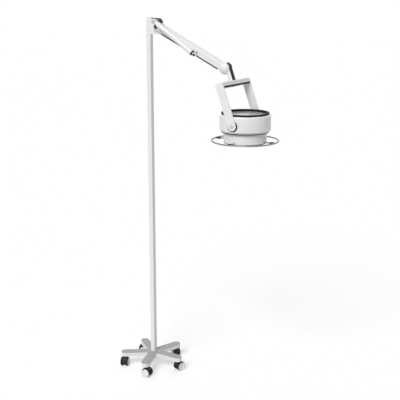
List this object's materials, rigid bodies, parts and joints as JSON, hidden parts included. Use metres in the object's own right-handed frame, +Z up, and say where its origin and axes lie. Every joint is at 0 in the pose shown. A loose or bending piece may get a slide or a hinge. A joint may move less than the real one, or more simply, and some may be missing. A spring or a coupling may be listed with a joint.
{
  "type": "surgical light",
  "caption": "Mobile surgical light: a round lamp head with a hand ring in a swivelling yoke, on a counterbalanced arm and a square column, standing on a star base with casters.",
  "frame": {"origin": "on the floor under the axis of the square column", "axes": "+Z up along the column, +X the way the arm points, +Y to the left of the arm"},
  "size_m": [0.9434, 0.3763, 1.993],
  "materials": {
    "cast_base": "white powder coat on cast iron",
    "base_cover": "mid-grey moulded plastic, fine grain",
    "cap_plastic": "light grey moulded plastic",
    "dark_plastic": "black moulded plastic",
    "steel": "bright zinc plate",
    "column_coat": "smooth white powder coat on steel",
    "cap_white": "white moulded plastic",
    "arm_coat": "smooth white powder coat on aluminium",
    "washer": "natural acetal",
    "wheel": "white nylon centre with a black tread",
    "strut_coat": "smooth white powder coat on aluminium",
    "housing": "white moulded plastic, satin",
    "gasket": "black rubber",
    "top_disc": "grey moulded plastic",
    "bezel": "grey moulded plastic",
    "glass": "clear toughened glass",
    "reflector": "bright anodised",
    "lamp_socket": "unglazed ceramic",
    "lamp_bulb": "frosted quartz glass"
  },
  "bodies": {
    "stand": {"base_casting": "cast_base", "base_cover": "base_cover", "leg_caps": "cap_plastic", "stem_sockets": "dark_plastic", "caster_stems": "steel", "column": "column_coat", "column_plug": "cap_white", "column_insert": "steel", "base_bolt": "steel", "cable_gland": "dark_plastic", "arm_bracket": "arm_coat", "bracket_screws": "steel", "arm_pivot_pin": "steel", "pivot_washers": "washer", "strut_stud": "steel"},
    "caster_1": {"caster_1_hood": "dark_plastic"},
    "wheels_1": {"caster_1_axle": "steel", "caster_1_wheels": "wheel"},
    "caster_2": {"caster_2_hood": "dark_plastic"},
    "wheels_2": {"caster_2_axle": "steel", "caster_2_wheels": "wheel"},
    "caster_3": {"caster_3_hood": "dark_plastic"},
    "wheels_3": {"caster_3_axle": "steel", "caster_3_wheels": "wheel"},
    "caster_4": {"caster_4_hood": "dark_plastic"},
    "wheels_4": {"caster_4_axle": "steel", "caster_4_wheels": "wheel"},
    "caster_5": {"caster_5_hood": "dark_plastic"},
    "wheels_5": {"caster_5_axle": "steel", "caster_5_wheels": "wheel"},
    "arm": {"arm_beam": "arm_coat", "arm_tongue": "arm_coat", "strut_ear": "arm_coat", "strut_pin": "steel"},
    "strut_upper": {"strut_eye": "arm_coat", "strut_cylinder": "steel"},
    "strut_lower": {"strut_foot": "arm_coat", "strut_rod": "steel", "strut_cover": "strut_coat"},
    "knuckle": {"knuckle_ball": "arm_coat", "knuckle_pin": "steel", "knuckle_plug": "cap_white", "swivel_bolt": "steel"},
    "yoke": {"yoke_crossbar": "arm_coat", "yoke_plate_front": "arm_coat", "yoke_plate_back": "arm_coat", "yoke_dowels": "steel", "tilt_pins": "steel"},
    "head": {"upper_housing": "housing", "top_gasket": "gasket", "top_disc": "top_disc", "lower_housing": "housing", "front_bezel": "bezel", "front_glass": "glass", "reflector": "reflector", "lamp_socket": "lamp_socket", "lamp_bulb": "lamp_bulb", "hand_ring": "arm_coat"}
  },
  "joints": [
    {"name": "caster_1_swivel", "type": "hinge", "parent": "stand", "child": "caster_1", "pos_m": [0.166, 0, 0.056], "axis": [0, 0, 1], "continuous": true},
    {"name": "wheels_1_roll", "type": "hinge", "parent": "caster_1", "child": "wheels_1", "pos_m": [0.16931, 0.01154, 0.025], "axis": [0.9613, -0.2756, 0], "continuous": true},
    {"name": "caster_2_swivel", "type": "hinge", "parent": "stand", "child": "caster_2", "pos_m": [0.0513, 0.15788, 0.056], "axis": [0, 0, 1], "continuous": true},
    {"name": "wheels_2_roll", "type": "hinge", "parent": "caster_2", "child": "wheels_2", "pos_m": [0.04135, 0.16459, 0.025], "axis": [0.5592, 0.829, 0], "continuous": true},
    {"name": "caster_3_swivel", "type": "hinge", "parent": "stand", "child": "caster_3", "pos_m": [-0.1343, 0.09757, 0.056], "axis": [0, 0, 1], "continuous": true},
    {"name": "wheels_3_roll", "type": "hinge", "parent": "caster_3", "child": "wheels_3", "pos_m": [-0.14375, 0.09018, 0.025], "axis": [-0.6157, 0.788, 0], "continuous": true},
    {"name": "caster_4_swivel", "type": "hinge", "parent": "stand", "child": "caster_4", "pos_m": [-0.1343, -0.09757, 0.056], "axis": [0, 0, 1], "continuous": true},
    {"name": "wheels_4_roll", "type": "hinge", "parent": "caster_4", "child": "wheels_4", "pos_m": [-0.13019, -0.10885, 0.025], "axis": [-0.9397, -0.342, 0], "continuous": true},
    {"name": "caster_5_swivel", "type": "hinge", "parent": "stand", "child": "caster_5", "pos_m": [0.0513, -0.15788, 0.056], "axis": [0, 0, 1], "continuous": true},
    {"name": "wheels_5_roll", "type": "hinge", "parent": "caster_5", "child": "wheels_5", "pos_m": [0.06329, -0.15746, 0.025], "axis": [0.0349, -0.9994, 0], "continuous": true},
    {"name": "arm_pitch", "type": "hinge", "parent": "stand", "child": "arm", "pos_m": [0.058, 0, 1.944], "axis": [0, -1, 0], "range_deg": [-15, 35]},
    {"name": "strut_upper_pivot", "type": "hinge", "parent": "stand", "child": "strut_upper", "pos_m": [0.06, -0.045, 1.975], "axis": [0, -1, 0], "range_deg": [-16, 36]},
    {"name": "strut_lower_pivot", "type": "hinge", "parent": "arm", "child": "strut_lower", "pos_m": [0.31274, -0.045, 1.81142], "axis": [0, -1, 0], "range_deg": [-3, 3]},
    {"name": "knuckle_pitch", "type": "hinge", "parent": "arm", "child": "knuckle", "pos_m": [0.47229, 0, 1.7464], "axis": [0, -1, 0], "range_deg": [-30, 50]},
    {"name": "yoke_swivel", "type": "hinge", "parent": "knuckle", "child": "yoke", "pos_m": [0.51326, 0, 1.6848], "axis": [-0.3478, 0, 0.9376], "range_deg": [-170, 170]},
    {"name": "head_tilt", "type": "hinge", "parent": "yoke", "child": "head", "pos_m": [0.59151, 0, 1.47384], "axis": [0, -1, 0], "range_deg": [-80, 100]}
  ],
  "couplings": [
    {"joint": "strut_upper_pivot", "follows": "arm_pitch", "ratio": 0.965},
    {"joint": "strut_lower_pivot", "follows": "arm_pitch", "ratio": -0.035}
  ]
}
